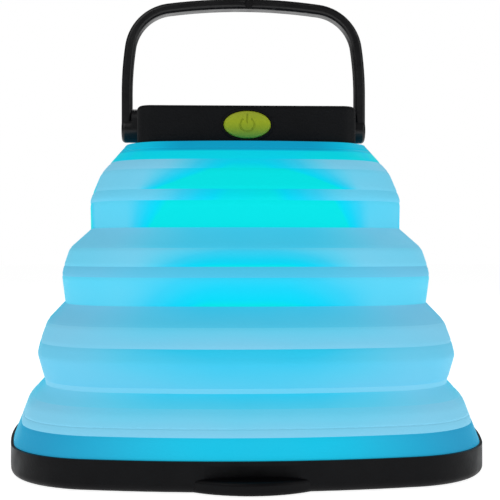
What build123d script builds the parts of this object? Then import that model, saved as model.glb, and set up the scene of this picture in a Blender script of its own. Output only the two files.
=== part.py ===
"""Collapsible camping lantern, in millimetres.

+Z is up and the power button faces -Y. The origin is the centre of the foot pad's underside.
A pleated silicone shade joins a low square base to a small top housing, which slides straight
down into the base as the pleats fold. The housing carries the lamp, battery, solar panel,
power button and swing handle.
"""

import os
from math import cos, radians, sin, sqrt

from build123d import *

os.makedirs("parts", exist_ok=True)

# ---- Driving dimensions ----------------------------------------------------------------------

base_half = 50.0  # half-width of the base at the middle of a side
housing_half = 22.8  # half-width of the straight-sided top housing
crown_overhang = 4.5  # from the housing's side out to the top of the shade
shade_rise = 55.8  # from the top of the skirt to the crown

# Sections of the base and shade are rounded squares with bowed sides. Bow and corner radius are
# shares of the half-width, and change evenly from the crown to the base.
base_bow, crown_bow = 0.130, 0.120
base_corner, crown_corner = 0.40, 0.40

seat_gap = 0.05  # between pieces that sit against each other
slip_gap = 0.15  # round loose pieces in pockets
running_gap = 0.04  # radial, pins in what turns on them

# Base
pad_width, pad_corner, pad_thickness, pad_proud = 56.0, 10.0, 1.1, 0.2
pad_groove_width, pad_groove_depth = 1.2, 0.4
pad_groove_shares = (0.55, 0.8)  # of the pad's width
tray_height, tray_floor, tray_edge_round = 5.8, 2.4, 1.4
upstand_height, upstand_wall = 3.0, 3.0
ledge_width = 3.8  # shoulder outside the upstand that the skirt stands on
lip_width, lip_reach, lip_thickness, lip_gap_below, lip_round = 25.0, 2.9, 2.5, 0.1, 0.7
lip_root_share = 0.08  # of the lip's width, from the side in to where the crescent starts
lip_overlap = 3.0  # of the lip into the tray
scoop_width, scoop_depth, scoop_top_wall = 22.0, 1.5, 0.8
clamp_wall, clamp_flange_thickness, clamp_flange_width = 2.1, 1.0, 4.0
clamp_boss_radius, clamp_boss_height, boss_inset = 3.0, 5.0, 4.2
boss_web = 2.0  # each way, from a boss towards its corner
reflector_thickness, reflector_rim_height, reflector_rim_wall = 0.8, 1.2, 1.0
reflector_rim_share = 0.7  # of the reflector's half-width

# Shade
skirt_height, skirt_foot_inset, skirt_top_inset = 3.9, 0.5, 2.0
shade_wall = 1.3
shade_lip = 1.2  # bottom flange, held down by the clamp ring
collar_flange = 1.5  # top flange, held up against the housing
collar_height, collar_inset = 0.6, 0.6
# Knees, valleys and bulges of the pleats from the base up: (share of the rise, share of the way
# out from the crown's half-width to the skirt's).
pleat_line = [
    (0.068, 0.932),
    (0.133, 0.768),
    (0.237, 0.845),
    (0.283, 0.816),
    (0.353, 0.749),
    (0.421, 0.575),
    (0.520, 0.609),
    (0.557, 0.589),
    (0.622, 0.531),
    (0.694, 0.319),
    (0.803, 0.324),
    (0.830, 0.300),
    (0.905, 0.217),
]

# Top housing
housing_wall, housing_corner, housing_edge_round = 1.8, 3.0, 0.9
roof_thickness = 1.0
window_margin, window_corner, window_thickness, cell_thickness = 4.4, 1.5, 0.8, 0.4
cell_margin, busbar_width, busbar_depth = 0.8, 0.6, 0.1
boss_radius, boss_from_side = 2.4, 5.2
screw_radius, screw_head_radius, screw_head_height = 1.0, 1.9, 1.3
screw_bite = 5.4
post_radius, peg_radius, peg_drop = 1.3, 0.6, 0.3

# Lamp unit under the housing
carrier_thickness, carrier_corner = 1.5, 5.0
carrier_ring_wall, carrier_ring_height = 1.0, 1.4
ring_gap_beside_port, ring_gap_beside_ears, ring_gap_depth = 0.5, 1.5, 8.0
collar_opening_inset, collar_opening_corner = 2.4, 3.0  # hole in the shade's top flange
led_board_gap, led_board_thickness = 0.7, 1.2  # the gap is to the screws' heads
chip_size, chip_thickness, chip_pitch, chip_rows = 2.8, 0.7, 7.0, 4
diffuser_inset, diffuser_corner, diffuser_wall, diffuser_depth = 1.8, 4.5, 1.0, 6.8
diffuser_round = 2.0
led_board_corner, chip_corner = 2.0, 0.3

# Power supply
cell_width, cell_length, cell_height, cell_round = 28.0, 25.0, 4.0, 1.4
tape_width, tape_length, tape_thickness = 20.0, 16.0, 0.4
board_side_gap, board_back_gap = 0.7, 0.4  # to the screw bosses and to the back wall
board_thickness, board_ahead_of_cell = 1.0, -0.5
board_over_cell, component_headroom = 0.6, 1.1
usb_width, usb_height, usb_depth, usb_wall, usb_corner = 7.8, 2.6, 7.2, 0.3, 0.6
usb_back_wall, tongue_width, tongue_thickness, tongue_inset = 1.2, 5.2, 0.6, 0.6
pipe_radius, pipe_x = 1.0, -11.0
pipe_clearance, pipe_proud, pipe_beyond_wall, pipe_end_round = 0.01, 0.1, 0.7, 0.25
pipe_z_above_port = 0.4
wire_radius, lead_reach, lead_bend, lead_on_board, battery_lead_x = 0.4, 1.1, 0.9, 2.0, 1.2
post_inset, solar_lead_y, led_pin_y = 2.2, 14.5, 13.9
solar_lead_x, led_pin_x = (-4.0, -1.5), (-11.0, -8.5)

# Power button
button_width, button_height, button_proud, button_edge = 9.7, 5.7, 0.55, 0.4
button_travel = 0.5
ear_width, ear_height, ear_thickness, ear_corner = 13.0, 4.4, 1.0, 1.0
ear_side_room = 1.0  # from the ears to the walls of their headroom
stem_radius, stem_length = 1.2, 1.35
button_brow = 1.1  # roof thickness over the button's headroom
window_wall = 0.6  # between that headroom and the window's recess
bezel_width, bezel_proud = 0.55, 0.3
symbol_radius, symbol_line, symbol_depth, symbol_gap_angle = 1.45, 0.36, 0.2, 70.0
plunger_radius, plunger_length = 0.9, 1.4
switch_width, switch_height, switch_depth, switch_corner = 5.0, 3.6, 1.8, 0.4
switch_board_width, switch_board_height, switch_board_thickness = 14.0, 5.4, 1.0
link_pin_radius, link_pin_pitch, link_pin_group_x = 0.3, 2.5, 4.5
button_below_middle = 0.2  # of the housing's height

# Handle: a swing bail round the housing
bail_gap, bail_rise = 2.45, 29.7  # housing's side to the arms, and outer height above the pivot
bail_bar, bail_depth, bail_round = 2.3, 4.4, 0.8
crown_angle, shoulder_radius, side_angle, side_radius = 7.75, 11.3, 8.25, 75.0
hub_radius, hub_rise, hub_round, hub_drop_from_top = 2.8, 4.8, 0.8, 2.8
washer_radius, washer_thickness = 2.4, 0.4
pin_boss_end = 0.8  # wall beyond the pins' inner ends
pin_radius, pin_in_housing, pin_short_of_face = 1.0, 3.2, 0.75
dimple_radius, dimple_depth, dimple_x = 1.0, 0.35, 1.1

# Charging port cover on the back
flap_width, flap_thickness, flap_gap = 12.0, 1.3, 0.3
flap_pin_radius, flap_pin_length, flap_recess_depth = 0.5, 15.0, 1.6
flap_pin_below_top = 2.6
recess_below_port, recess_corner = 0.5, 0.4
nail_groove_radius, nail_groove_rise, nail_groove_from_side = 0.35, 0.9, 2.0
port_block_width, port_block_depth = 17.0, 1.6

# ---- Heights and places worked out from them ---------------------------------------------------

tray_bottom = pad_proud
floor_top = tray_bottom + tray_floor
shoulder_z = tray_bottom + tray_height
upstand_top = shoulder_z + upstand_height
crown_half = housing_half + crown_overhang
upstand_half = base_half - ledge_width
pocket_half = upstand_half - upstand_wall
lip_top = upstand_top + shade_lip
skirt_top = shoulder_z + skirt_height
skirt_half = base_half - skirt_top_inset
crown_z = skirt_top + shade_rise
collar_top = crown_z + collar_height
flange_bottom = collar_top - collar_flange

carrier_top = flange_bottom
carrier_bottom = carrier_top - carrier_thickness
led_board_bottom = carrier_bottom - led_board_thickness
lamp_bottom = carrier_bottom - diffuser_depth

# from the carrier up: battery cell, circuit board, roof, solar cell and window
cell_bottom = carrier_top + tape_thickness
board_bottom = cell_bottom + cell_height + board_over_cell
board_top = board_bottom + board_thickness
ceiling_z = board_top + component_headroom
pocket_floor = ceiling_z + roof_thickness
housing_top = pocket_floor + cell_thickness + window_thickness
housing_bottom = collar_top
housing_height = housing_top - housing_bottom

window_half = housing_half - window_margin
cavity_half = housing_half - housing_wall
boss_at = housing_half - boss_from_side
opening_half = housing_half - collar_opening_inset
diffuser_width = 2 * (housing_half - diffuser_inset)
led_board_width = 2 * (boss_at - screw_head_radius - led_board_gap)
board_width = 2 * (boss_at - boss_radius - board_side_gap)
board_front_y = -cell_length / 2 - board_ahead_of_cell

button_z = housing_bottom + housing_height / 2 - button_below_middle
wall_inside_y = -cavity_half
ear_front_y = wall_inside_y + seat_gap
ear_back_y = ear_front_y + ear_thickness
stem_end_y = ear_back_y + stem_length
plunger_end_y = stem_end_y + plunger_length
switch_front_y = plunger_end_y - plunger_length / 3
switch_back_y = switch_front_y + switch_depth
switch_board_back_y = switch_back_y + switch_board_thickness

pivot_z = housing_top - hub_drop_from_top
pin_boss_bottom = pivot_z - 2 * pin_radius
arm_inner = housing_half + bail_gap
bail_half = arm_inner + bail_bar
hub_inner = housing_half + washer_thickness + 2 * seat_gap

recess_floor_y = housing_half - flap_recess_depth
flap_pin_y = recess_floor_y + flap_recess_depth / 2
flap_pin_z = housing_top - flap_pin_below_top
recess_top_z = flap_pin_z + flap_thickness / 2 + flap_gap
block_inside_y = cavity_half - port_block_depth
board_back_y = block_inside_y - board_back_gap
port_z = board_bottom - usb_height / 2
recess_bottom_z = port_z - usb_height / 2 - recess_below_port
recess_height = recess_top_z - recess_bottom_z
pipe_z = port_z + pipe_z_above_port

corners = [(x, y) for x in (-1, 1) for y in (-1, 1)]


def bulged_square(half):
    """Draw a rounded square with bowed sides; half is its half-width at the middle of a side."""
    outwards = (half - crown_half) / (base_half - crown_half)
    bow = half * (crown_bow + (base_bow - crown_bow) * outwards)
    corner = half * (crown_corner + (base_corner - crown_corner) * outwards)
    side_radius = ((half - bow) ** 2 + bow**2) / (2 * bow)
    lift = side_radius - half  # from the middle of the square to the centre of a side's arc
    span = side_radius - corner
    along = (sqrt(2 * span**2 - lift**2) - lift) / 2  # corner arc's centre is (along, -along)
    touch_x = side_radius * along / span
    touch_y = lift - side_radius * (along + lift) / span
    tip = along + corner / sqrt(2)
    points = [(-touch_x, touch_y), (0, -half), (touch_x, touch_y), (tip, -tip), (-touch_y, -touch_x)]
    with BuildLine() as outline:
        for quarter in range(4):
            at = [Vector(x, y).rotate(Axis.Z, 90 * quarter) for x, y in points]
            ThreePointArc(at[0], at[1], at[2])
            ThreePointArc(at[2], at[3], at[4])
    make_face(outline.edges())


def corner_diagonal(half):
    """Distance from the middle of a bulged square to the tip of its corner, nearly."""
    return half * 1.165


def finish(part, name):
    """Label a piece and write it as its own STEP file."""
    part.label = name
    export_step(part, f"parts/{name}.step")


# ---- Base --------------------------------------------------------------------------------------

clamp_boss_at = (corner_diagonal(pocket_half) - clamp_wall - boss_inset) / sqrt(2)
clamp_boss_spots = [(x * clamp_boss_at, y * clamp_boss_at) for x, y in corners]
web_at = clamp_boss_at + boss_web
clamp_web_spots = [(x * web_at, y * web_at) for x, y in corners]

with BuildPart() as base_tray:
    with BuildSketch(Plane.XY.offset(tray_bottom)):
        bulged_square(base_half)
    extrude(amount=tray_height)
    fillet(base_tray.edges().group_by(Axis.Z)[0], tray_edge_round)
    # crescent finger lip at the foot of the front side
    with BuildSketch(Plane.XY.offset(tray_bottom + lip_gap_below)):
        with BuildLine():
            lip_root = -base_half + lip_root_share * lip_width
            lip_back = lip_root + lip_overlap
            lip_edge = ThreePointArc(
                (-lip_width / 2, lip_root), (0, -base_half - lip_reach), (lip_width / 2, lip_root)
            )
            Polyline(lip_edge @ 1, (lip_width / 2, lip_back), (-lip_width / 2, lip_back), lip_edge @ 0)
        make_face()
    extrude(amount=lip_thickness)
    lip_edges = base_tray.edges().filter_by(GeomType.CIRCLE).group_by(Axis.Y)[0]
    fillet(lip_edges, lip_round)
    # shallow scoop in the side above the lip
    scoop_bottom = tray_bottom + lip_gap_below + lip_thickness
    with BuildSketch(Plane.XY.offset(scoop_bottom)):
        with BuildLine():
            scoop_front = -base_half - scoop_depth / 3
            scoop_edge = ThreePointArc(
                (-scoop_width / 2, scoop_front), (0, -base_half + scoop_depth), (scoop_width / 2, scoop_front)
            )
            Line(scoop_edge @ 1, scoop_edge @ 0)
        make_face()
    extrude(amount=shoulder_z - scoop_top_wall - scoop_bottom, mode=Mode.SUBTRACT)
    # upstand inside the shade's skirt, and the tray's hollow
    with BuildSketch(Plane.XY.offset(shoulder_z)):
        bulged_square(upstand_half)
    extrude(amount=upstand_height)
    with BuildSketch(Plane.XY.offset(floor_top)):
        bulged_square(pocket_half)
    extrude(amount=upstand_top - floor_top, mode=Mode.SUBTRACT)
    # recess for the foot pad
    with BuildSketch(Plane.XY.offset(tray_bottom)):
        RectangleRounded(pad_width + 2 * slip_gap, pad_width + 2 * slip_gap, pad_corner + slip_gap)
    extrude(amount=pad_thickness - pad_proud, mode=Mode.SUBTRACT)
    with Locations(Plane.XY.offset(tray_bottom)):
        with Locations(*clamp_boss_spots):
            Cylinder(screw_radius + slip_gap, tray_floor, align=(Align.CENTER, Align.CENTER, Align.MIN),
                     mode=Mode.SUBTRACT)
            Cylinder(screw_head_radius + slip_gap, screw_head_height,
                     align=(Align.CENTER, Align.CENTER, Align.MIN), mode=Mode.SUBTRACT)
finish(base_tray.part, "base_tray")

with BuildPart() as foot_pad:
    with BuildSketch():
        RectangleRounded(pad_width, pad_width, pad_corner)
    extrude(amount=pad_thickness)
    # square grip grooves in the underside
    with BuildSketch():
        for share in pad_groove_shares:
            size = pad_width * share
            RectangleRounded(size, size, pad_corner * share)
            RectangleRounded(size - 2 * pad_groove_width, size - 2 * pad_groove_width,
                             pad_corner * share - pad_groove_width, mode=Mode.SUBTRACT)
    extrude(amount=pad_groove_depth, mode=Mode.SUBTRACT)
finish(foot_pad.part, "foot_pad")

clamp_half = pocket_half - seat_gap
clamp_inner_half = clamp_half - clamp_wall
with BuildPart() as lower_clamp_ring:
    # wall inside the upstand, with a flange over the shade's lip
    with BuildSketch(Plane.XY.offset(floor_top)):
        bulged_square(clamp_half)
    extrude(amount=lip_top - floor_top)
    with BuildSketch(Plane.XY.offset(lip_top)):
        bulged_square(clamp_half + clamp_flange_width - clamp_wall)
    extrude(amount=clamp_flange_thickness)
    fillet(lower_clamp_ring.edges().group_by(Axis.Z)[-1], clamp_flange_thickness / 3)
    with BuildSketch(Plane.XY.offset(floor_top)):
        bulged_square(clamp_inner_half)
    extrude(amount=lip_top + clamp_flange_thickness - floor_top, mode=Mode.SUBTRACT)
    # screw bosses in the corners, webbed to the wall
    with BuildSketch(Plane.XY.offset(floor_top)):
        bulged_square(clamp_half - clamp_wall / 2)
        with BuildSketch(mode=Mode.INTERSECT):
            with Locations(*clamp_boss_spots):
                Circle(clamp_boss_radius)
            with Locations(*clamp_web_spots):
                Circle(clamp_boss_radius)
    extrude(amount=clamp_boss_height)
    with Locations(Plane.XY.offset(floor_top)):
        with Locations(*clamp_boss_spots):
            Cylinder(screw_radius, screw_bite - tray_floor + screw_head_height,
                     align=(Align.CENTER, Align.CENTER, Align.MIN), mode=Mode.SUBTRACT)
finish(lower_clamp_ring.part, "lower_clamp_ring")


def cross_screw(head_radius, head_height, shank_radius, shank_length):
    """A pan-head screw that points up, with its head's face at z = 0."""
    with BuildPart() as screw:
        Cylinder(head_radius, head_height, align=(Align.CENTER, Align.CENTER, Align.MIN))
        fillet(screw.edges().group_by(Axis.Z)[0], head_height / 4)
        with Locations((0, 0, head_height)):
            Cylinder(shank_radius, shank_length, align=(Align.CENTER, Align.CENTER, Align.MIN))
        chamfer(screw.edges().group_by(Axis.Z)[-1], shank_radius / 4)
        for turn in (0, 90):
            with Locations(Location((0, 0, 0), (0, 0, turn))):
                Box(1.3 * head_radius, 0.28 * head_radius, head_height / 2,
                    align=(Align.CENTER, Align.CENTER, Align.MIN), mode=Mode.SUBTRACT)
    return screw.part


base_screw = cross_screw(screw_head_radius, screw_head_height, screw_radius, screw_bite)
base_screws = Compound(
    children=[Pos(x, y, tray_bottom) * base_screw for x, y in clamp_boss_spots]
)
finish(base_screws, "base_screws")

reflector_half = clamp_inner_half - 2 * slip_gap
with BuildPart() as reflector:
    with BuildSketch(Plane.XY.offset(floor_top)):
        bulged_square(reflector_half)
        with Locations(*clamp_boss_spots):
            Circle(clamp_boss_radius + 2 * slip_gap, mode=Mode.SUBTRACT)
        with Locations(*clamp_web_spots):
            Circle(clamp_boss_radius + 2 * slip_gap, mode=Mode.SUBTRACT)
    extrude(amount=reflector_thickness)
    # low stiffening ring
    with BuildSketch(Plane.XY.offset(floor_top + reflector_thickness)):
        bulged_square(reflector_rim_share * reflector_half)
        with BuildSketch(mode=Mode.SUBTRACT):
            bulged_square(reflector_rim_share * reflector_half - reflector_rim_wall)
    extrude(amount=reflector_rim_height)
finish(reflector.part, "reflector")

# ---- Shade -------------------------------------------------------------------------------------

pleats = [
    (skirt_top + rise * shade_rise, crown_half + reach * (skirt_half - crown_half))
    for rise, reach in pleat_line
]
outer_line = [
    (shoulder_z, base_half - skirt_foot_inset),
    (skirt_top, skirt_half),
    *pleats,
    (crown_z, crown_half),
    (collar_top, crown_half - collar_inset),
]
inner_pleats = [(z, half - shade_wall) for z, half in pleats]
first_z, first_half = pleats[0]
lip_share = (lip_top - skirt_top) / (first_z - skirt_top)
lip_inner_half = skirt_half + lip_share * (first_half - skirt_half) - shade_wall
last_z, last_half = pleats[-1]
flange_share = (flange_bottom - last_z) / (crown_z - last_z)
flange_inner_half = last_half + flange_share * (crown_half - last_half) - shade_wall
inner_line = [(lip_top, lip_inner_half), *inner_pleats, (flange_bottom, flange_inner_half)]

with BuildPart() as bellows:
    for z, half in outer_line:
        with BuildSketch(Plane.XY.offset(z)):
            bulged_square(half)
    loft(ruled=True)
with BuildPart() as bellows_hollow:
    for z, half in inner_line:
        with BuildSketch(Plane.XY.offset(z)):
            bulged_square(half)
    loft(ruled=True)
with BuildPart() as bellows_shell:
    add(bellows.part)
    add(bellows_hollow.part, mode=Mode.SUBTRACT)
    # the skirt's fit over the upstand, and the mouth inside the lip
    with BuildSketch(Plane.XY.offset(shoulder_z)):
        bulged_square(upstand_half + seat_gap)
    extrude(amount=upstand_height, mode=Mode.SUBTRACT)
    with BuildSketch(Plane.XY.offset(upstand_top)):
        bulged_square(pocket_half)
    extrude(amount=shade_lip, mode=Mode.SUBTRACT)
    # hole in the top flange for the lamp carrier's ring
    with BuildSketch(Plane.XY.offset(flange_bottom)):
        RectangleRounded(2 * opening_half, 2 * opening_half, collar_opening_corner)
    extrude(amount=collar_flange, mode=Mode.SUBTRACT)
finish(bellows_shell.part, "bellows")

# ---- Top housing -------------------------------------------------------------------------------

low = (Align.CENTER, Align.CENTER, Align.MIN)
front_plane = Plane(origin=(0, -housing_half, button_z), x_dir=(1, 0, 0), z_dir=(0, -1, 0))
back_plane = Plane(origin=(0, housing_half, port_z), x_dir=(-1, 0, 0), z_dir=(0, 1, 0))
screw_spots = [(x * boss_at, y * boss_at) for x, y in corners]
post_x = board_width / 2 - post_inset
post_rows = (board_front_y + post_inset, board_back_y - post_inset)
post_spots = [(x * post_x, y) for x in (-1, 1) for y in post_rows]
solar_lead_spots = [(x, solar_lead_y) for x in solar_lead_x]
led_pin_spots = [(x, led_pin_y) for x in led_pin_x]
headroom_depth = -(window_half + window_wall) - wall_inside_y
hub_holes = [
    Plane(origin=(side * housing_half, 0, pivot_z), x_dir=(0, side, 0), z_dir=(-side, 0, 0))
    for side in (-1, 1)
]

with BuildPart() as top_housing:
    with BuildSketch(Plane.XY.offset(housing_bottom)):
        RectangleRounded(2 * housing_half, 2 * housing_half, housing_corner)
    extrude(amount=housing_height)
    fillet(top_housing.edges().group_by(Axis.Z)[-1], housing_edge_round)
    # raised bezel round the button
    with BuildSketch(front_plane):
        Ellipse(button_width / 2 + bezel_width, button_height / 2 + bezel_width)
    extrude(amount=bezel_proud)
    fillet(top_housing.edges().group_by(Axis.Y)[0], bezel_proud / 2)
    # recess for the solar cell and its window
    with BuildSketch(Plane.XY.offset(pocket_floor)):
        RectangleRounded(2 * window_half, 2 * window_half, window_corner)
    extrude(amount=housing_top - pocket_floor, mode=Mode.SUBTRACT)
    # cavity, open below, with headroom behind the button
    with BuildSketch(Plane.XY.offset(housing_bottom)):
        RectangleRounded(2 * cavity_half, 2 * cavity_half, housing_corner - housing_wall)
    extrude(amount=ceiling_z - housing_bottom, mode=Mode.SUBTRACT)
    with Locations((0, wall_inside_y, ceiling_z)):
        Box(ear_width + 2 * ear_side_room, headroom_depth, housing_top - button_brow - ceiling_z,
            align=(Align.CENTER, Align.MIN, Align.MIN), mode=Mode.SUBTRACT)
    # screw bosses, board posts with pegs, pin bosses and a thicker wall round the port
    with BuildSketch(Plane.XY.offset(carrier_top)):
        with Locations(*screw_spots):
            Circle(boss_radius)
    extrude(amount=ceiling_z - carrier_top)
    with BuildSketch(Plane.XY.offset(board_top)):
        with Locations(*post_spots):
            Circle(post_radius)
    extrude(amount=ceiling_z - board_top)
    with BuildSketch(Plane.XY.offset(board_bottom - peg_drop)):
        with Locations(*post_spots):
            Circle(peg_radius)
    extrude(amount=board_thickness + peg_drop)
    for side, towards_middle in ((-1, Align.MIN), (1, Align.MAX)):
        with Locations((side * cavity_half, 0, pin_boss_bottom)):
            Box(pin_in_housing - housing_wall + pin_boss_end, 2 * washer_radius, ceiling_z - pin_boss_bottom,
                align=(towards_middle, Align.CENTER, Align.MIN))
    with Locations((0, cavity_half, housing_bottom)):
        Box(port_block_width, port_block_depth, ceiling_z - housing_bottom,
            align=(Align.CENTER, Align.MAX, Align.MIN))
    # holes
    with BuildSketch(front_plane.offset(bezel_proud)):
        Ellipse(button_width / 2 + slip_gap, button_height / 2 + slip_gap)
    extrude(amount=-(bezel_proud + housing_wall), mode=Mode.SUBTRACT)
    with Locations(*hub_holes):
        Cylinder(pin_radius, pin_in_housing, align=low, mode=Mode.SUBTRACT)
    with BuildSketch(Plane.XY.offset(carrier_top)):
        with Locations(*screw_spots):
            Circle(screw_radius)
    extrude(amount=screw_bite - carrier_thickness, mode=Mode.SUBTRACT)
    with BuildSketch(Plane.XY.offset(ceiling_z)):
        with Locations(*solar_lead_spots):
            Circle(wire_radius + slip_gap)
    extrude(amount=roof_thickness, mode=Mode.SUBTRACT)
    # charging port: a recess for its cover, the port's slot, the cover's pin and the light pipe
    with BuildSketch(back_plane):
        with Locations((0, recess_top_z - recess_height / 2 - port_z)):
            RectangleRounded(flap_width + 2 * flap_gap, recess_height, recess_corner)
    extrude(amount=-flap_recess_depth, mode=Mode.SUBTRACT)
    with BuildSketch(back_plane):
        Rectangle(usb_width + 2 * slip_gap, usb_height + 2 * slip_gap)
    extrude(amount=-(housing_half - block_inside_y), mode=Mode.SUBTRACT)
    with Locations((0, flap_pin_y, flap_pin_z)):
        Cylinder(flap_pin_radius, flap_pin_length, rotation=(0, 90, 0), mode=Mode.SUBTRACT)
    with BuildSketch(back_plane):
        with Locations((-pipe_x, pipe_z - port_z)):
            Circle(pipe_radius)
    extrude(amount=-housing_wall, mode=Mode.SUBTRACT)
finish(top_housing.part, "top_housing")

with BuildPart() as solar_cell:
    with BuildSketch(Plane.XY.offset(pocket_floor)):
        RectangleRounded(2 * (window_half - cell_margin), 2 * (window_half - cell_margin), window_corner)
    extrude(amount=cell_thickness)
    # silver busbar slots
    with BuildSketch(Plane.XY.offset(pocket_floor + cell_thickness)):
        with GridLocations(window_half / 1.5, 0, 3, 1):
            Rectangle(busbar_width, 1.8 * window_half)
    extrude(amount=-busbar_depth, mode=Mode.SUBTRACT)
finish(solar_cell.part, "solar_cell")

with BuildPart() as solar_window:
    with BuildSketch(Plane.XY.offset(housing_top - window_thickness)):
        RectangleRounded(2 * (window_half - seat_gap), 2 * (window_half - seat_gap), window_corner - seat_gap)
    extrude(amount=window_thickness)
    chamfer(solar_window.edges().group_by(Axis.Z)[-1], window_thickness / 4)
finish(solar_window.part, "solar_window")

# ---- Power supply inside the housing -----------------------------------------------------------

with BuildPart() as battery_tape:
    with Locations((0, 0, carrier_top)):
        Box(tape_width, tape_length, tape_thickness, align=low)
finish(battery_tape.part, "battery_tape")

with BuildPart() as battery_cell:
    with Locations((0, 0, cell_bottom)):
        Box(cell_width, cell_length, cell_height, align=low)
    fillet(battery_cell.edges().filter_by(Axis.Y), cell_round)
    fillet(battery_cell.edges().group_by(Axis.Y)[0], cell_round / 4)
    fillet(battery_cell.edges().group_by(Axis.Y)[-1], cell_round / 4)
finish(battery_cell.part, "battery_cell")

with BuildPart() as circuit_board:
    with BuildSketch(Plane.XY.offset(board_bottom)):
        with Locations((0, (board_front_y + board_back_y) / 2)):
            Rectangle(board_width, board_back_y - board_front_y)
        with Locations(*post_spots):
            Circle(peg_radius + slip_gap, mode=Mode.SUBTRACT)
    extrude(amount=board_thickness)
finish(circuit_board.part, "circuit_board")

# charge controller, driver, inductor and capacitors: (x, y, width, length, height)
component_sizes = [
    (-7, 4, 5.0, 4.0, 0.9),
    (5, 6, 4.0, 5.0, 0.9),
    (6, -4, 4.0, 4.0, 0.95),
    (-6, -5, 1.6, 0.8, 0.5),
    (-3, -5, 1.6, 0.8, 0.5),
    (1, 12, 2.0, 1.25, 0.6),
]
components = []
for x, y, width, length, height in component_sizes:
    with BuildPart() as component:
        with Locations((x, y, board_top)):
            Box(width, length, height, align=low)
        chamfer(component.edges().group_by(Axis.Z)[-1], 0.12)
    components.append(component.part)
finish(Compound(children=components), "board_components")

with BuildPart() as usb_port:
    port_front = Plane(origin=(0, recess_floor_y, port_z), x_dir=(-1, 0, 0), z_dir=(0, 1, 0))
    with BuildSketch(port_front):
        RectangleRounded(usb_width, usb_height, usb_corner)
    extrude(amount=-usb_depth)
    with BuildSketch(port_front):
        RectangleRounded(usb_width - 2 * usb_wall, usb_height - 2 * usb_wall, usb_corner - usb_wall)
    extrude(amount=-(usb_depth - usb_back_wall), mode=Mode.SUBTRACT)
    # contact tongue
    with BuildSketch(port_front.offset(-tongue_inset)):
        Rectangle(tongue_width, tongue_thickness)
    extrude(amount=-(usb_depth - usb_back_wall / 2 - tongue_inset))
finish(usb_port.part, "usb_port")

with BuildPart() as charge_light_pipe:
    with BuildSketch(back_plane.offset(pipe_proud)):
        with Locations((-pipe_x, pipe_z - port_z)):
            Circle(pipe_radius - pipe_clearance)
    extrude(amount=-(pipe_proud + housing_wall + pipe_beyond_wall))
    fillet(charge_light_pipe.edges().group_by(Axis.Y)[-1], pipe_end_round)
finish(charge_light_pipe.part, "charge_light_pipe")

with BuildPart() as battery_lead:
    lead_front = -cell_length / 2 - lead_reach
    with BuildLine(Plane.YZ):
        route = FilletPolyline(
            (-cell_length / 2, cell_bottom + cell_height / 2),
            (lead_front, cell_bottom + cell_height / 2),
            (lead_front, board_top + wire_radius),
            (board_front_y + lead_on_board, board_top + wire_radius),
            radius=lead_bend,
        )
    with BuildSketch(Plane(origin=route @ 0, z_dir=route % 0)):
        Circle(wire_radius)
    sweep()
both_leads = [Pos(x, 0, 0) * battery_lead.part for x in (-battery_lead_x, battery_lead_x)]
finish(Compound(children=both_leads), "battery_leads")

with BuildPart() as solar_leads:
    with Locations(*[(x, y, board_top) for x, y in solar_lead_spots]):
        Cylinder(wire_radius, pocket_floor - board_top, align=low)
finish(solar_leads.part, "solar_leads")

# ---- Lamp unit ---------------------------------------------------------------------------------

with BuildPart() as lamp_carrier:
    with BuildSketch(Plane.XY.offset(carrier_bottom)):
        RectangleRounded(2 * housing_half, 2 * housing_half, carrier_corner)
    extrude(amount=carrier_thickness)
    # rings that centre it in the shade's flange and centre the diffuser below
    lower_ring_half = diffuser_width / 2 - diffuser_wall - seat_gap
    for z, half in (
        (carrier_top, opening_half - seat_gap),
        (carrier_bottom - carrier_ring_height, lower_ring_half),
    ):
        with BuildSketch(Plane.XY.offset(z)):
            RectangleRounded(2 * half, 2 * half, collar_opening_corner - seat_gap)
            RectangleRounded(2 * (half - carrier_ring_wall), 2 * (half - carrier_ring_wall),
                             collar_opening_corner - carrier_ring_wall, mode=Mode.SUBTRACT)
            with Locations(*screw_spots):
                Circle(boss_radius + slip_gap, mode=Mode.SUBTRACT)
            with Locations((0, half)):
                Rectangle(port_block_width + 2 * ring_gap_beside_port, ring_gap_depth, mode=Mode.SUBTRACT)
            with Locations((0, -half)):
                Rectangle(ear_width + 2 * ring_gap_beside_ears, ring_gap_depth, mode=Mode.SUBTRACT)
        extrude(amount=carrier_ring_height)
    with BuildSketch(Plane.XY.offset(carrier_bottom)):
        with Locations(*screw_spots):
            Circle(screw_radius + slip_gap)
        with Locations(*led_pin_spots):
            Circle(wire_radius + slip_gap)
    extrude(amount=carrier_thickness, mode=Mode.SUBTRACT)
finish(lamp_carrier.part, "lamp_carrier")

housing_screw = cross_screw(screw_head_radius, screw_head_height, screw_radius, screw_bite)
housing_screws = Compound(
    children=[Pos(x, y, carrier_bottom - screw_head_height) * housing_screw for x, y in screw_spots]
)
finish(housing_screws, "housing_screws")

with BuildPart() as led_board:
    with BuildSketch(Plane.XY.offset(led_board_bottom)):
        RectangleRounded(led_board_width, led_board_width, led_board_corner)
    extrude(amount=led_board_thickness)
finish(led_board.part, "led_board")

with BuildPart() as led_chips:
    with BuildSketch(Plane.XY.offset(led_board_bottom)):
        with GridLocations(chip_pitch, chip_pitch, chip_rows, chip_rows):
            RectangleRounded(chip_size, chip_size, chip_corner)
    extrude(amount=-chip_thickness)
finish(led_chips.part, "led_chips")

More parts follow.
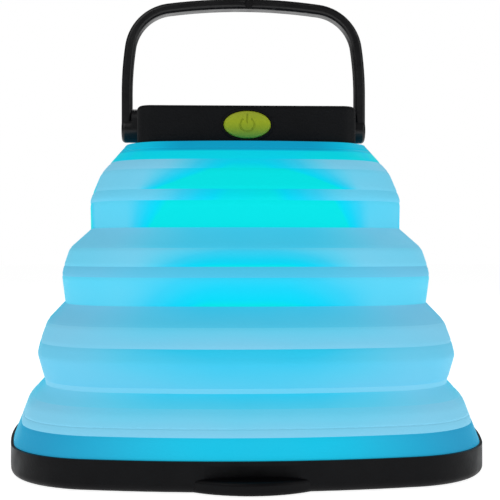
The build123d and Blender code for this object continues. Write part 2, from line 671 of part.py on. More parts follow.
with BuildPart() as led_diffuser:
    with BuildSketch(Plane.XY.offset(lamp_bottom)):
        RectangleRounded(diffuser_width, diffuser_width, diffuser_corner)
    extrude(amount=diffuser_depth)
    fillet(led_diffuser.edges().group_by(Axis.Z)[0], diffuser_round)
    with BuildSketch(Plane.XY.offset(lamp_bottom + diffuser_wall)):
        inner = diffuser_width - 2 * diffuser_wall
        RectangleRounded(inner, inner, diffuser_corner - diffuser_wall)
    extrude(amount=diffuser_depth - diffuser_wall, mode=Mode.SUBTRACT)
finish(led_diffuser.part, "led_diffuser")

with BuildPart() as led_link_pins:
    with Locations(*[(x, y, carrier_bottom) for x, y in led_pin_spots]):
        Cylinder(wire_radius, board_bottom - carrier_bottom, align=low)
finish(led_link_pins.part, "led_link_pins")

# ---- Power button and its switch ---------------------------------------------------------------

with BuildPart() as power_button:
    with BuildSketch(front_plane.offset(button_proud)):
        Ellipse(button_width / 2, button_height / 2)
    extrude(amount=-(button_proud + housing_wall + seat_gap))
    fillet(power_button.edges().group_by(Axis.Y)[0], button_edge)
    # retaining ears behind the wall, and the stem that works the switch
    ear_plane = Plane(origin=(0, ear_front_y, button_z), x_dir=(-1, 0, 0), z_dir=(0, 1, 0))
    with BuildSketch(ear_plane):
        RectangleRounded(ear_width, ear_height, ear_corner)
    extrude(amount=ear_thickness)
    with BuildSketch(ear_plane.offset(ear_thickness)):
        Circle(stem_radius)
    extrude(amount=stem_length)
    # engraved power sign: a broken ring and a bar
    with BuildSketch(front_plane.offset(button_proud)):
        Circle(symbol_radius + symbol_line / 2)
        Circle(symbol_radius - symbol_line / 2, mode=Mode.SUBTRACT)
        with BuildLine():
            wedge = radians(symbol_gap_angle / 2)
            wedge_x, wedge_y = button_height / 2 * sin(wedge), button_height / 2 * cos(wedge)
            Polyline((0, 0), (-wedge_x, wedge_y), (wedge_x, wedge_y), close=True)
        make_face(mode=Mode.SUBTRACT)
        with Locations((0, symbol_radius * 0.85)):
            SlotOverall(symbol_radius * 1.3, symbol_line, rotation=90)
    extrude(amount=-symbol_depth, mode=Mode.SUBTRACT)
finish(power_button.part, "power_button")

with BuildPart() as switch_plunger:
    with BuildSketch(Plane(origin=(0, stem_end_y, button_z), x_dir=(-1, 0, 0), z_dir=(0, 1, 0))):
        Circle(plunger_radius)
    extrude(amount=plunger_length)
finish(switch_plunger.part, "switch_plunger")

switch_plane = Plane(origin=(0, switch_front_y, button_z), x_dir=(-1, 0, 0), z_dir=(0, 1, 0))
with BuildPart() as tact_switch:
    with BuildSketch(switch_plane):
        RectangleRounded(switch_width, switch_height, switch_corner)
    extrude(amount=switch_depth)
    with BuildSketch(switch_plane):
        Circle(plunger_radius + slip_gap)
    extrude(amount=plunger_end_y - switch_front_y + button_travel + slip_gap, mode=Mode.SUBTRACT)
finish(tact_switch.part, "tact_switch")

with BuildPart() as switch_board:
    with BuildSketch(switch_plane.offset(switch_depth)):
        with Locations((0, ceiling_z - seat_gap - switch_board_height / 2 - button_z)):
            Rectangle(switch_board_width, switch_board_height)
    extrude(amount=switch_board_thickness)
finish(switch_board.part, "switch_board")

link_pin_rise = board_bottom + board_thickness / 2 - button_z
with BuildPart() as switch_link_pins:
    with BuildSketch(switch_plane.offset(switch_depth + switch_board_thickness)):
        with GridLocations(link_pin_pitch, 0, 2, 1):
            with Locations(*[(side * link_pin_group_x, link_pin_rise) for side in (-1, 1)]):
                Circle(link_pin_radius)
    extrude(amount=board_front_y - switch_board_back_y)
finish(switch_link_pins.part, "switch_link_pins")

# ---- Handle ------------------------------------------------------------------------------------


def draw_bail(inset):
    """Draw the handle's outline, inset from its outer face, from one pivot over to the other."""
    crown, shoulder, side = radians(crown_angle), shoulder_radius - inset, radians(side_angle)
    side_r = side_radius - inset
    half = bail_half - inset
    crown_r = (half - shoulder * (cos(side) - sin(crown)) - side_r * (1 - cos(side))) / sin(crown)
    top = pivot_z + bail_rise - inset
    crown_z_centre = top - crown_r
    reach = crown_r - shoulder
    shoulder_at = (reach * sin(crown), crown_z_centre + reach * cos(crown))
    side_at = (half - side_r, shoulder_at[1] - (side_r - shoulder) * sin(side))
    arcs = [((0, crown_z_centre), crown_r, 90 - crown_angle, 2 * crown_angle)]
    for sign in (-1, 1):
        for (x, z), radius, start, size in (
            (shoulder_at, shoulder, side_angle, 90 - side_angle - crown_angle),
            (side_at, side_r, 0, side_angle),
        ):
            begin = start if sign > 0 else 180 - start - size
            arcs.append(((sign * x, z), radius, begin, size))
    for centre, radius, start, size in arcs:
        CenterArc(centre, radius, start, size)
    for sign in (-1, 1):
        Line((sign * half, side_at[1]), (sign * half, pivot_z))


with BuildPart() as hub_disc:
    Cylinder(hub_radius, bail_half - hub_inner, align=low)
    fillet(hub_disc.edges().group_by(Axis.Z)[-1], hub_round)

with BuildPart() as handle:
    with BuildSketch(Plane.XZ.offset(-bail_depth / 2)):
        with BuildLine() as bail_outline:
            draw_bail(0)
            draw_bail(bail_bar)
            for side in (-1, 1):
                Line((side * bail_half, pivot_z), (side * arm_inner, pivot_z))
        make_face(bail_outline.edges())
    extrude(amount=bail_depth)
    outer_edges = handle.edges().filter_by(lambda e: abs(e.center().Y) > bail_depth / 2 - 0.01)
    fillet(outer_edges, bail_round)
    # inner pads at the pivots, drawn out upwards along the arms
    for side in (-1, 1):
        hub_plane = Plane(origin=(side * hub_inner, 0, pivot_z), x_dir=(0, 1, 0), z_dir=(side, 0, 0))
        up = 1 if hub_plane.y_dir.Z > 0 else -1
        with BuildSketch(hub_plane):
            with BuildLine():
                rise = up * (hub_rise - hub_radius)
                Line((-hub_radius, 0), (-hub_radius, rise))
                ThreePointArc((-hub_radius, rise), (0, up * hub_rise), (hub_radius, rise))
                Line((hub_radius, rise), (hub_radius, 0))
                ThreePointArc((hub_radius, 0), (0, -up * hub_radius), (-hub_radius, 0))
            make_face()
        extrude(amount=arm_inner - hub_inner)
        add(Plane(origin=(side * hub_inner, 0, pivot_z), z_dir=(side, 0, 0)) * hub_disc.part)
    # blind holes for the pivot pins, and a small dimple on the front of the crown
    pin_hole_depth = bail_half - pin_short_of_face + seat_gap - hub_inner
    for side in (-1, 1):
        with Locations(Plane(origin=(side * hub_inner, 0, pivot_z), z_dir=(side, 0, 0))):
            Cylinder(pin_radius + running_gap, pin_hole_depth, align=low, mode=Mode.SUBTRACT)
    with Locations(Plane(origin=(dimple_x, -bail_depth / 2, pivot_z + bail_rise - bail_bar / 2),
                         z_dir=(0, -1, 0))):
        Cylinder(dimple_radius, 2 * dimple_depth, mode=Mode.SUBTRACT)
finish(handle.part, "handle")

pin_start = housing_half - pin_in_housing
pins, washers = [], []
for side in (-1, 1):
    with BuildPart() as pin:
        with Locations(Plane(origin=(side * pin_start, 0, pivot_z), z_dir=(side, 0, 0))):
            Cylinder(pin_radius, bail_half - pin_short_of_face - pin_start, align=low)
    pins.append(pin.part)
    with BuildPart() as washer:
        with Locations(Plane(origin=(side * housing_half, 0, pivot_z), z_dir=(side, 0, 0))):
            Cylinder(washer_radius, washer_thickness, align=low)
            Cylinder(pin_radius + seat_gap, washer_thickness, align=low, mode=Mode.SUBTRACT)
    washers.append(washer.part)
finish(Compound(children=pins), "handle_pins")
finish(Compound(children=washers), "handle_washers")

# ---- Charging port cover -----------------------------------------------------------------------

with BuildPart() as port_cover:
    with BuildSketch(Plane.YZ.offset(-flap_width / 2)):
        with BuildLine():
            half = flap_thickness / 2
            foot = recess_bottom_z + flap_gap
            Line((flap_pin_y - half, flap_pin_z), (flap_pin_y - half, foot))
            Line((flap_pin_y - half, foot), (flap_pin_y + half, foot))
            Line((flap_pin_y + half, foot), (flap_pin_y + half, flap_pin_z))
            ThreePointArc((flap_pin_y + half, flap_pin_z), (flap_pin_y, flap_pin_z + half),
                          (flap_pin_y - half, flap_pin_z))
        make_face()
    extrude(amount=flap_width)
    lower_rim = port_cover.edges().filter_by(Axis.X).group_by(Axis.Z)[0]
    fillet(lower_rim, flap_thickness / 4)
    with Locations((0, flap_pin_y, flap_pin_z)):
        Cylinder(flap_pin_radius + running_gap, flap_width, rotation=(0, 90, 0), mode=Mode.SUBTRACT)
    # thumbnail groove across the outer face
    with Locations((0, flap_pin_y + half, foot + nail_groove_rise)):
        Cylinder(nail_groove_radius, flap_width - 2 * nail_groove_from_side, rotation=(0, 90, 0),
                 mode=Mode.SUBTRACT)
finish(port_cover.part, "port_cover")

with BuildPart() as port_cover_pin:
    with Locations((0, flap_pin_y, flap_pin_z)):
        Cylinder(flap_pin_radius, flap_pin_length, rotation=(0, 90, 0))
finish(port_cover_pin.part, "port_cover_pin")
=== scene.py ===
"""The looks of a collapsible camping lantern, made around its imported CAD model."""

import math
from itertools import pairwise

import bpy
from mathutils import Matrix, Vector


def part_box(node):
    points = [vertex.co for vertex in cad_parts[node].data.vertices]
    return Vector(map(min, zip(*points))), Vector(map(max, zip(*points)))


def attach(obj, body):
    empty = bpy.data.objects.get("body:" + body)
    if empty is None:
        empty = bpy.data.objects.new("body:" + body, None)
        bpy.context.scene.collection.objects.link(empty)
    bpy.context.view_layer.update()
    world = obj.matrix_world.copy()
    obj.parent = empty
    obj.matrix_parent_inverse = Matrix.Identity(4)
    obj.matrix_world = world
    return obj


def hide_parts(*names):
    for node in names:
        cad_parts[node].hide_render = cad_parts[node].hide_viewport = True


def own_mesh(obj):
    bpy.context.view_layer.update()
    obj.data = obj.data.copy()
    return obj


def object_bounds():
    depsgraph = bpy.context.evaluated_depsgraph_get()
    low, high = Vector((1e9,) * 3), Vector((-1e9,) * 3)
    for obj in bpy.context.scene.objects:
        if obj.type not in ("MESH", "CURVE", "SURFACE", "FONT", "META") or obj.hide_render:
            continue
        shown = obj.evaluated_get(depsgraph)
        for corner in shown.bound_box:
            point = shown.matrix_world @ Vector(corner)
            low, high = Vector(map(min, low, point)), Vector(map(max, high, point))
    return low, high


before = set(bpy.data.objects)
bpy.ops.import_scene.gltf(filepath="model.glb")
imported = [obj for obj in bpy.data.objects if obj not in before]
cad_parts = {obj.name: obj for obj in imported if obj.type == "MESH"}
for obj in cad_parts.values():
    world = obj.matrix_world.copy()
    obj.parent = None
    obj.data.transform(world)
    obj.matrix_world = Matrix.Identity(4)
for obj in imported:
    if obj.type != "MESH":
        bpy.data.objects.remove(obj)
cad_low, cad_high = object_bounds()

MM = 0.001

# ---- Sizes and places, in millimetres ----------------------------------------------------------


def low_mm(node):
    """A CAD node's lowest corner in millimetres."""
    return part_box(node)[0] / MM


def high_mm(node):
    """A CAD node's highest corner in millimetres."""
    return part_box(node)[1] / MM


base_half = high_mm("base_tray").x
housing_half = high_mm("top_housing").x
crown_overhang = 4.5  # from the housing's side out to the top of the shade
crown_half = housing_half + crown_overhang
base_bow, crown_bow = 0.130, 0.120  # shares of the half-width, as are the corner radii
base_corner, crown_corner = 0.40, 0.40

collar_top = high_mm("bellows").z
collar_height, collar_flange, collar_inset = 0.6, 1.5, 0.6
collar_hole_inset = 2.4  # from the housing's side in to the hole in the top flange
crown_z = collar_top - collar_height
flange_bottom = collar_top - collar_flange

skirt_foot_z = low_mm("bellows").z
skirt_height, skirt_foot_inset, skirt_top_inset = 3.9, 0.5, 2.0
skirt_top = skirt_foot_z + skirt_height
skirt_half = base_half - skirt_top_inset
shade_rise = crown_z - skirt_top
fixed_pleat = 1.5  # of the lowest pleat above the skirt, held still by the clamp ring
pleats_start = skirt_top + fixed_pleat
shade_wall = 1.3

# Knees, valleys and bulges of the pleats from the base up: (share of the rise, share of the way
# out from the crown's half-width to the skirt's).
pleat_line = [
    (0.068, 0.932),
    (0.133, 0.768),
    (0.237, 0.845),
    (0.283, 0.816),
    (0.353, 0.749),
    (0.421, 0.575),
    (0.520, 0.609),
    (0.557, 0.589),
    (0.622, 0.531),
    (0.694, 0.319),
    (0.803, 0.324),
    (0.830, 0.300),
    (0.905, 0.217),
]

columns = 208  # of faces round the shade
row_step, inner_row_step = 0.36, 1.0
crease_row_gap = 0.03  # from a crease to the rows close above and below it
knee_softness = 0.45  # how far the profile's corners are rounded, up and down
crease_depth, crease_width = 0.10, 0.28

# How bright the shade looks, set against the photo and not worked out from the lamp, in bands between
# creases from the crown down, the same on all four sides: (share of the rise at the band's top, light at
# its top, light at its foot, how far from a side's middle the light is even at its top, the same at its
# foot, where it has faded, light at the corner, shadow). The distances are shares of the way to the corner.
lit_bands = [
    (1.000, 0.93, 0.92, 0.90, 0.90, 1.30, 0.60, 0.05),
    (0.941, 0.86, 0.97, 0.06, 0.10, 0.62, 0.00, 0.00),
    (0.905, 1.00, 1.04, 0.16, 0.56, 0.72, 0.10, 0.00),
    (0.830, 0.96, 0.97, 0.08, 0.14, 0.66, 0.16, 0.04),
    (0.790, 1.00, 1.05, 0.46, 0.58, 0.80, 0.28, 0.00),
    (0.694, 0.42, 0.42, 0.25, 0.25, 0.85, 0.08, 0.06),
    (0.622, 0.40, 1.00, 0.05, 0.20, 0.62, 0.12, 0.00),
    (0.557, 0.33, 0.31, 0.20, 0.20, 0.90, 0.08, 0.16),
    (0.520, 0.60, 1.00, 0.08, 0.20, 0.72, 0.28, 0.00),
    (0.421, 0.46, 0.32, 0.20, 0.20, 0.90, 0.02, 0.12),
    (0.353, 0.24, 0.02, 0.25, 0.25, 0.90, 0.00, 0.03),
    (0.283, 0.58, 0.22, 0.20, 0.12, 0.85, 0.10, 0.10),
    (0.150, 0.12, 0.13, 0.30, 0.30, 0.90, 0.02, 0.00),
    (0.133, 0.50, 0.34, 0.25, 0.25, 0.90, 0.08, 0.03),
    (0.088, 0.22, -0.03, 0.40, 0.40, 0.95, -0.03, 0.00),
]
skirt_light, skirt_corner_light = 0.70, 0.40
collar_light, collar_strip = 0.9, 1.4  # the strip in the housing's shade, down from the crown
skirt_shadow, skirt_corner_shadow, collar_shadow = 0.14, 0.55, 0.60
skirt_turn, collar_turn = (0.2, 1.0), (0.45, 0.9)  # where light and shadow change towards a corner
collar_corner_drop = 0.6  # share of the collar's shadow that is gone at the corner
glow_strength = 0.57

# Camera: level, a little to the left of the lantern's front
camera_distance, camera_height, camera_yaw, camera_offset = 240.0, 44.2, 2.2, 1.45
camera_lens = 75.9

# Light: name, place and size in metres, and power in watts
studio_lights = [
    ("key", (-0.35, -0.45, 0.55), 0.5, 0.5, 1.2),
    ("fill", (0.5, -0.3, 0.3), 0.4, 0.5, 0.6),
    ("back", (0.1, 0.5, 0.5), 0.6, 0.3, 1.2),
]
surround_as_light, surround_seen = 0.12, 1.0
floor_half, floor_tone, floor_glow, floor_patch = 3.0, 0.6, 0.92, 200.0


# ---- Materials ---------------------------------------------------------------------------------


def srgb(red, green, blue):
    """A linear colour with alpha from 0-255 screen values."""
    screen = [value / 255 for value in (red, green, blue)]
    linear = [v / 12.92 if v <= 0.04045 else ((v + 0.055) / 1.055) ** 2.4 for v in screen]
    return (*linear, 1.0)


class Look:
    """A node material under construction."""

    def __init__(self, name, roughness, specular=0.5, metallic=0.0):
        self.material = bpy.data.materials.new(name)
        self.material.use_nodes = True
        self.nodes = self.material.node_tree.nodes
        self.links = self.material.node_tree.links
        self.shader = self.nodes["Principled BSDF"]
        self.set("Roughness", roughness)
        self.set("Specular IOR Level", specular)
        self.set("Metallic", metallic)
        self.place = self.nodes.new("ShaderNodeTexCoord").outputs["Object"]

    def set(self, socket, value):
        self.shader.inputs[socket].default_value = value

    def join(self, output, node, socket):
        self.links.new(output, node.inputs[socket])

    def noise(self, size, detail=3.0, stretch=(1, 1, 1)):
        """Noise with features of that size in millimetres, drawn out along an axis by stretch."""
        mapping = self.nodes.new("ShaderNodeMapping")
        mapping.inputs["Scale"].default_value = [1 / (size * MM * along) for along in stretch]
        self.join(self.place, mapping, "Vector")
        noise = self.nodes.new("ShaderNodeTexNoise")
        noise.inputs["Scale"].default_value = 1.0
        noise.inputs["Detail"].default_value = detail
        self.join(mapping.outputs["Vector"], noise, "Vector")
        return noise.outputs["Fac"]

    def cells(self, size):
        """Rounded pebbles of that size in millimetres, as moulded texture has."""
        cells = self.nodes.new("ShaderNodeTexVoronoi")
        cells.inputs["Scale"].default_value = 1 / (size * MM)
        self.join(self.place, cells, "Vector")
        return cells.outputs["Distance"]

    def ramp(self, factor, stops):
        """Colours along a factor: stops are (position, colour)."""
        ramp = self.nodes.new("ShaderNodeValToRGB")
        elements = ramp.color_ramp.elements
        elements[0].position, elements[0].color = stops[0]
        elements[1].position, elements[1].color = stops[-1]
        for position, colour in stops[1:-1]:
            elements.new(position).color = colour
        self.join(factor, ramp, "Fac")
        return ramp.outputs["Color"]

    def span(self, factor, low, high, start=0.3, end=0.7):
        """A factor's stretch from start to end, brought to run from low to high."""
        span = self.nodes.new("ShaderNodeMapRange")
        for socket, value in zip(("From Min", "From Max", "To Min", "To Max"), (start, end, low, high)):
            span.inputs[socket].default_value = value
        self.join(factor, span, "Value")
        return span.outputs["Result"]

    def mix(self, factor, first, second):
        """One colour turning into another."""
        mix = self.nodes.new("ShaderNodeMix")
        mix.data_type = "RGBA"
        for socket, value in ((6, first), (7, second)):
            if isinstance(value, tuple):
                mix.inputs[socket].default_value = value
            else:
                self.links.new(value, mix.inputs[socket])
        self.links.new(factor, mix.inputs[0])
        return mix.outputs[2]

    def math(self, operation, first, second):
        """Arithmetic on sockets or numbers."""
        node = self.nodes.new("ShaderNodeMath")
        node.operation = operation
        for socket, value in zip(node.inputs, (first, second)):
            if isinstance(value, (int, float)):
                socket.default_value = value
            else:
                self.links.new(value, socket)
        return node.outputs["Value"]

    def attribute(self, name):
        """A number stored on the mesh's points."""
        attribute = self.nodes.new("ShaderNodeAttribute")
        attribute.attribute_name = name
        return attribute.outputs["Fac"]

    def colour(self, output):
        self.join(output, self.shader, "Base Color")

    def varied(self, colour, size, amount=0.12):
        """The base colour, a little darker and lighter in patches of that size."""
        dark = (*[part * (1 - amount) for part in colour[:3]], 1.0)
        light = (*[part * (1 + amount) for part in colour[:3]], 1.0)
        self.colour(self.mix(self.span(self.noise(size), 0, 1), dark, light))

    def rough(self, size, low, high):
        """Roughness that varies in patches of that size."""
        self.join(self.span(self.noise(size, 4.0), low, high), self.shader, "Roughness")

    def bump(self, height, depth):
        """Relief of that depth in millimetres from a height between 0 and 1."""
        bump = self.nodes.new("ShaderNodeBump")
        bump.inputs["Strength"].default_value = 1.0
        bump.inputs["Distance"].default_value = depth * MM
        self.join(height, bump, "Height")
        self.join(bump.outputs["Normal"], self.shader, "Normal")


def moulded(name, colour, rough, grain, depth, specular=0.5, patch=9.0):
    """Moulded plastic or rubber with a fine grain."""
    look = Look(name, rough, specular)
    look.varied(colour, patch)
    look.rough(patch / 3, rough - 0.06, rough + 0.06)
    look.bump(look.cells(grain), depth)
    return look


def metal(name, colour, rough, along):
    """Metal with fine drawn or turned marks along an axis."""
    look = Look(name, rough, metallic=1.0)
    look.varied(colour, 1.5, 0.1)
    marks = look.noise(0.12, 2.0, along)
    look.join(look.span(marks, rough - 0.08, rough + 0.1), look.shader, "Roughness")
    look.bump(marks, 0.01)
    return look


def lit_silicone():
    """Matt silicone that glows by itself, as bright as the mesh's light and shadow say."""
    look = Look("lit_silicone", 0.55, 0.06)
    # the painted glow made a little brighter and dimmer in patches
    uneven_glow = look.span(look.noise(14.0, 2.0, (1.6, 1.6, 0.8)), -0.035, 0.035)
    light = look.math("ADD", look.attribute("light"), uneven_glow)
    glow = look.ramp(light, [
        (0.00, srgb(126, 201, 230)),
        (0.25, srgb(92, 203, 233)),
        (0.50, srgb(54, 201, 235)),
        (0.75, srgb(20, 206, 238)),
        (0.90, srgb(0, 211, 238)),
        (0.98, srgb(0, 220, 222)),
    ])
    glow = look.mix(look.attribute("shadow"), glow, srgb(12, 142, 206))
    look.colour(look.mix(look.span(look.attribute("shadow"), 0.3, 1, 0, 1), glow, srgb(0, 40, 60)))
    look.join(glow, look.shader, "Emission Color")
    look.set("Emission Strength", glow_strength)
    look.set("Sheen Weight", 0.04)
    look.rough(3.0, 0.5, 0.62)
    look.bump(look.noise(0.35, 4.0), 0.02)
    return look


def solar_cell():
    """Blue-black silicon with fine silver fingers across it and faint crystal grain."""
    look = Look("solar_silicon", 0.28, 0.4)
    axes = look.nodes.new("ShaderNodeSeparateXYZ")
    look.join(look.place, axes, "Vector")
    finger_pitch, finger_share = 1.9, 0.07
    turns = look.math("DIVIDE", axes.outputs["X"], finger_pitch * MM)
    finger = look.math("LESS_THAN", look.math("FRACT", turns, 0.0), finger_share)
    grain = look.span(look.noise(2.4, 2.0, (1, 2.5, 1)), 0, 1)
    silicon = look.mix(grain, srgb(14, 20, 52), srgb(24, 36, 84))
    look.colour(look.mix(finger, silicon, srgb(150, 156, 166)))
    look.rough(1.5, 0.22, 0.34)
    look.bump(finger, 0.02)
    return look


def clear_plastic(name, colour, opacity, rough):
    """Clear plastic that lets what is under it show."""
    look = Look(name, rough)
    look.varied(colour, 6.0, 0.06)
    look.set("Alpha", opacity)
    look.rough(2.5, rough, rough + 0.05)
    look.bump(look.noise(4.0, 2.0), 0.01)
    return look


def circuit_board():
    """Green solder mask with copper tracks showing through."""
    look = Look("circuit_board", 0.35, 0.5)
    track = look.math("LESS_THAN", look.cells(1.6), 0.16)
    look.colour(look.mix(track, srgb(16, 92, 48), srgb(38, 128, 66)))
    look.rough(1.2, 0.28, 0.42)
    look.bump(track, 0.02)
    return look


def foil():
    """Crinkled foil of a pouch cell."""
    look = Look("cell_foil", 0.32, metallic=1.0)
    look.varied(srgb(205, 207, 210), 4.0, 0.08)
    look.rough(2.0, 0.25, 0.42)
    look.bump(look.noise(1.8, 5.0), 0.08)
    return look


def phosphor():
    """Lit yellow phosphor of the lamp's chips."""
    look = Look("led_phosphor", 0.4)
    look.varied(srgb(244, 232, 150), 0.6, 0.06)
    look.set("Emission Color", srgb(210, 240, 255))
    look.set("Emission Strength", 1.5)
    look.bump(look.cells(0.2), 0.02)
    return look


def diffuser():
    """Milky dome, lit by the chips behind it."""
    look = Look("diffuser_plastic", 0.45)
    look.varied(srgb(222, 240, 246), 5.0, 0.05)
    look.set("Emission Color", srgb(150, 232, 255))
    look.set("Emission Strength", 0.6)
    look.bump(look.cells(0.3), 0.02)
    return look


def button_plastic():
    """Satin green-yellow plastic of the button, with the cyan glow of the shade below painted on it,
    greener towards its foot.
    """
    look = Look("button_plastic", 0.42, 0.25)
    axes = look.nodes.new("ShaderNodeSeparateXYZ")
    look.join(look.place, axes, "Vector")
    foot = low_mm("power_button").z * MM
    height = high_mm("power_button").z * MM - foot
    rise = look.math("DIVIDE", look.math("SUBTRACT", axes.outputs["Z"], foot), height)
    # painted glow of the lit shade below, strongest towards the button's foot
    look.colour(look.ramp(rise, [
        (0.10, srgb(118, 170, 62)),
        (0.36, srgb(150, 176, 40)),
        (0.60, srgb(168, 184, 34)),
        (0.95, srgb(160, 172, 46)),
    ]))
    look.rough(1.0, 0.36, 0.48)
    look.bump(look.cells(0.25), 0.012)
    return look


steel = srgb(150, 152, 156)
looks = {
    "housing_plastic": lambda: moulded("housing_plastic", srgb(15, 16, 18), 0.52, 0.35, 0.045, 0.13),
    "base_plastic": lambda: moulded("base_plastic", srgb(13, 13, 15), 0.44, 0.50, 0.012, 0.11),
    "handle_plastic": lambda: moulded("handle_plastic", srgb(18, 18, 20), 0.32, 0.60, 0.010, 0.36),
    "silicone": lit_silicone,
    "button_plastic": button_plastic,
    "pad_rubber": lambda: moulded("pad_rubber", srgb(42, 42, 44), 0.75, 0.40, 0.05, 0.3),
    "seal_rubber": lambda: moulded("seal_rubber", srgb(34, 34, 37), 0.62, 0.35, 0.03, 0.35),
    "white_plastic": lambda: moulded("white_plastic", srgb(232, 236, 240), 0.40, 0.50, 0.015),
    "clamp_plastic": lambda: moulded("clamp_plastic", srgb(205, 208, 212), 0.45, 0.50, 0.02),
    "diffuser_plastic": diffuser,
    "window": lambda: clear_plastic("window", srgb(150, 165, 185), 0.22, 0.06),
    "solar_silicon": solar_cell,
    "screw_steel": lambda: metal("screw_steel", steel, 0.30, (1, 1, 8)),
    "pin_steel": lambda: metal("pin_steel", steel, 0.24, (8, 1, 1)),
    "nylon": lambda: moulded("nylon", srgb(215, 214, 206), 0.45, 0.30, 0.01),
    "board": circuit_board,
    "chip_plastic": lambda: moulded("chip_plastic", srgb(40, 40, 43), 0.55, 0.15, 0.01, 0.4, 2.0),
    "led_phosphor": phosphor,
    "cell_foil": foil,
    "tape": lambda: moulded("tape", srgb(222, 220, 208), 0.8, 0.25, 0.06, 0.2, 3.0),
    "port_metal": lambda: metal("port_metal", srgb(168, 169, 172), 0.28, (1, 8, 1)),
    "wire_red": lambda: moulded("wire_red", srgb(180, 42, 34), 0.45, 0.30, 0.01, 0.4, 2.0),
    "pin_metal": lambda: metal("pin_metal", srgb(222, 190, 112), 0.25, (1, 1, 8)),
    "light_pipe": lambda: clear_plastic("light_pipe", srgb(225, 232, 240), 0.55, 0.12),
}


# ---- The shade ---------------------------------------------------------------------------------


def section_radius(half, angle):
    """How far out a bulged square's outline is, at an angle from a side's middle up to 45 degrees."""
    outwards = (half - crown_half) / (base_half - crown_half)
    bow = half * (crown_bow + (base_bow - crown_bow) * outwards)
    corner = half * (crown_corner + (base_corner - crown_corner) * outwards)
    side_radius = ((half - bow) ** 2 + bow**2) / (2 * bow)
    lift = side_radius - half
    span = side_radius - corner
    along = (math.sqrt(2 * span**2 - lift**2) - lift) / 2
    touch_x = side_radius * along / span
    touch_y = side_radius * (along + lift) / span - lift
    if angle <= math.atan2(touch_x, touch_y):
        return math.sqrt(side_radius**2 - (lift * math.sin(angle)) ** 2) - lift * math.cos(angle)
    from_diagonal = math.radians(45) - angle
    reach = math.sqrt(2) * along
    return reach * math.cos(from_diagonal) + math.sqrt(corner**2 - (reach * math.sin(from_diagonal)) ** 2)


def height_at(share):
    """The height at a share of the shade's rise."""
    return skirt_top + share * shade_rise


outline = [(skirt_foot_z, base_half - skirt_foot_inset), (skirt_top, skirt_half)]
outline += [(height_at(rise), crown_half + reach * (skirt_half - crown_half)) for rise, reach in pleat_line]
outline += [(crown_z, crown_half), (collar_top, crown_half - collar_inset)]


def outline_half(z):
    """The half-width of the straight-lined profile at a height."""
    for (low_z, low_half), (high_z, high_half) in pairwise(outline):
        if z <= high_z:
            share = max(0.0, (z - low_z) / (high_z - low_z))
            return low_half + share * (high_half - low_half)
    return outline[-1][1]


creases = [skirt_top] + [height_at(band[0]) for band in lit_bands[1:]]


def shade_half(z):
    """The half-width of the shade's outside at a height, with soft knees and moulded creases."""
    steps = (-1.5, -1.0, -0.5, 0.0, 0.5, 1.0, 1.5)
    weights = [math.exp(-(step**2)) for step in steps]
    sampled = [outline_half(z + step * knee_softness) for step in steps]
    half = sum(weight * value for weight, value in zip(weights, sampled)) / sum(weights)
    dip = sum(math.exp(-(((z - crease) / crease_width) ** 2)) for crease in creases)
    return half - crease_depth * dip


def fade(start, end, value):
    """A smooth step from 0 at start to 1 at end."""
    share = min(1.0, max(0.0, (value - start) / (end - start)))
    return share * share * (3 - 2 * share)


def light_and_shadow(z, towards_corner):
    """How brightly a point of the shade glows, and how much it is in shade."""
    if z <= skirt_top:
        turn = fade(*skirt_turn, towards_corner)
        light = skirt_light + turn * (skirt_corner_light - skirt_light)
        return light, skirt_shadow + turn * (skirt_corner_shadow - skirt_shadow)
    if z >= crown_z - collar_strip:
        return collar_light, collar_shadow * (1 - collar_corner_drop * fade(*collar_turn, towards_corner))
    share = (z - skirt_top) / shade_rise
    feet = [band[0] for band in lit_bands[1:]] + [0.0]
    band, foot = next((band, foot) for band, foot in zip(lit_bands, feet) if share > foot)
    top, top_light, foot_light, top_even, foot_even, faded, corner_light, shadow = band
    down = (top - share) / (top - foot)
    middle = top_light + down * (foot_light - top_light)
    turn = fade(top_even + down * (foot_even - top_even), faded, towards_corner)
    return middle + turn * (corner_light - middle), shadow


def shell(name, rows):
    """A closed skin through rounded-square rows of (height, half-width), back to the first."""
    points, lights, shadows = [], [], []
    for z, half in rows:
        for column in range(columns):
            angle = 2 * math.pi * column / columns
            from_side = abs((math.degrees(angle) + 45) % 90 - 45)
            radius = section_radius(half, math.radians(from_side))
            points.append((radius * math.sin(angle) * MM, -radius * math.cos(angle) * MM, z * MM))
            light, shadow = light_and_shadow(z, math.tan(math.radians(from_side)))
            lights.append(light)
            shadows.append(shadow)
    faces = []
    for row in range(len(rows)):
        above = (row + 1) % len(rows)
        for column in range(columns):
            beside = (column + 1) % columns
            faces.append((row * columns + column, row * columns + beside,
                          above * columns + beside, above * columns + column))
    mesh = bpy.data.meshes.new(name)
    mesh.from_pydata(points, [], faces)
    for attribute_name, values in (("light", lights), ("shadow", shadows)):
        attribute = mesh.attributes.new(attribute_name, "FLOAT", "POINT")
        attribute.data.foreach_set("value", values)
    mesh.shade_smooth()
    mesh.materials.append(materials["silicone"])
    piece = bpy.data.objects.new(name, mesh)
    bpy.context.scene.collection.objects.link(piece)
    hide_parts("bellows")
    return piece


def heights(low, high, step=row_step):
    """Even heights from low to high, with a pair close round each crease between them."""
    count = max(2, math.ceil((high - low) / step))
    even = [low + (high - low) * index / count for index in range(count + 1)]
    edges = [crease + side * crease_row_gap for crease in creases for side in (-1, 1)]
    return sorted(even + [z for z in edges if low < z < high])


def walled(low, high):
    """Rows up the outside from low to high, and down the inside of the wall."""
    outside = [(z, shade_half(z)) for z in heights(low, high)]
    inside = [(z, shade_half(z) - shade_wall) for z in reversed(heights(low, high, inner_row_step))]
    return outside + inside


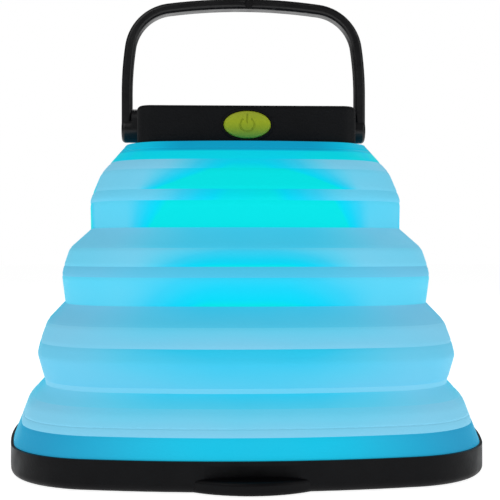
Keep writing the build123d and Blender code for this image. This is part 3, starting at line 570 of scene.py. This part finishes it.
def make_shade():
    """The skirt and the pleats stay on the base, and the collar rides up with the head."""
    skirt = shell("shade_skirt", walled(skirt_foot_z, pleats_start))
    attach(skirt, "base")
    pleats = shell("shade_pleats", walled(pleats_start, flange_bottom))
    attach(pleats, "base")
    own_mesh(pleats)
    rows = [(z, shade_half(z)) for z in heights(flange_bottom, collar_top)]
    hole_half = housing_half - collar_hole_inset
    collar = shell("shade_collar", rows + [(collar_top, hole_half), (flange_bottom, hole_half)])
    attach(collar, "lamp_head")


# ---- Camera, light and floor -------------------------------------------------------------------


def add_camera():
    """A level camera in front of the lantern, turned a little to its left."""
    yaw = math.radians(camera_yaw)
    back = Vector((-math.sin(yaw), -math.cos(yaw), 0))
    side = Vector((math.cos(yaw), -math.sin(yaw), 0))
    camera = bpy.data.objects.new("camera", bpy.data.cameras.new("camera"))
    camera.data.lens = camera_lens
    camera.data.clip_start = 0.01
    camera.location = (back * camera_distance + side * camera_offset + Vector((0, 0, camera_height))) * MM
    camera.rotation_euler = (math.pi / 2, 0, -yaw)
    bpy.context.scene.collection.objects.link(camera)
    bpy.context.scene.camera = camera


def add_light(name, place, width, height, watts):
    """A soft rectangular light that points at the middle of the lantern."""
    light = bpy.data.lights.new(name, "AREA")
    light.shape = "RECTANGLE"
    light.size, light.size_y = width, height
    light.energy = watts
    lamp = bpy.data.objects.new(name, light)
    lamp.location = place
    middle = Vector((0, 0, (cad_low.z + cad_high.z) / 2))
    lamp.rotation_euler = (middle - Vector(place)).to_track_quat("-Z", "Y").to_euler()
    bpy.context.scene.collection.objects.link(lamp)


def add_world():
    """A white surround for the camera and a dimmer one as light."""
    world = bpy.data.worlds.new("surround")
    world.use_nodes = True
    nodes, links = world.node_tree.nodes, world.node_tree.links
    background = nodes["Background"]
    rays = nodes.new("ShaderNodeLightPath")
    strength = nodes.new("ShaderNodeMapRange")
    strength.inputs["To Min"].default_value = surround_as_light
    strength.inputs["To Max"].default_value = surround_seen
    links.new(rays.outputs["Is Camera Ray"], strength.inputs["Value"])
    links.new(strength.outputs["Result"], background.inputs["Strength"])
    background.inputs["Color"].default_value = (1, 1, 1, 1)
    bpy.context.scene.world = world


def add_floor():
    """A wide pale floor under the lantern, which glows a little so that it looks white."""
    corners = [(-floor_half, -floor_half, 0), (floor_half, -floor_half, 0),
               (floor_half, floor_half, 0), (-floor_half, floor_half, 0)]
    mesh = bpy.data.meshes.new("floor")
    mesh.from_pydata(corners, [], [(0, 1, 2, 3)])
    look = Look("pale_floor", 0.9, 0.0)
    look.varied((floor_tone, floor_tone, floor_tone, 1), floor_patch, 0.02)
    look.set("Emission Color", (1, 1, 1, 1))
    look.set("Emission Strength", floor_glow)
    mesh.materials.append(look.material)
    floor = bpy.data.objects.new("floor", mesh)
    floor.location.z = cad_low.z
    bpy.context.scene.collection.objects.link(floor)


# ---- Putting it together -----------------------------------------------------------------------

materials = {slot: make().material for slot, make in looks.items()}
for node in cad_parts.values():
    for index, old in enumerate(node.data.materials):
        slot = old.name.split(".")[0]
        node.data.materials[index] = materials[slot]

make_shade()
add_camera()
add_world()
for light_values in studio_lights:
    add_light(*light_values)
add_floor()
bpy.context.scene.view_settings.view_transform = "Standard"
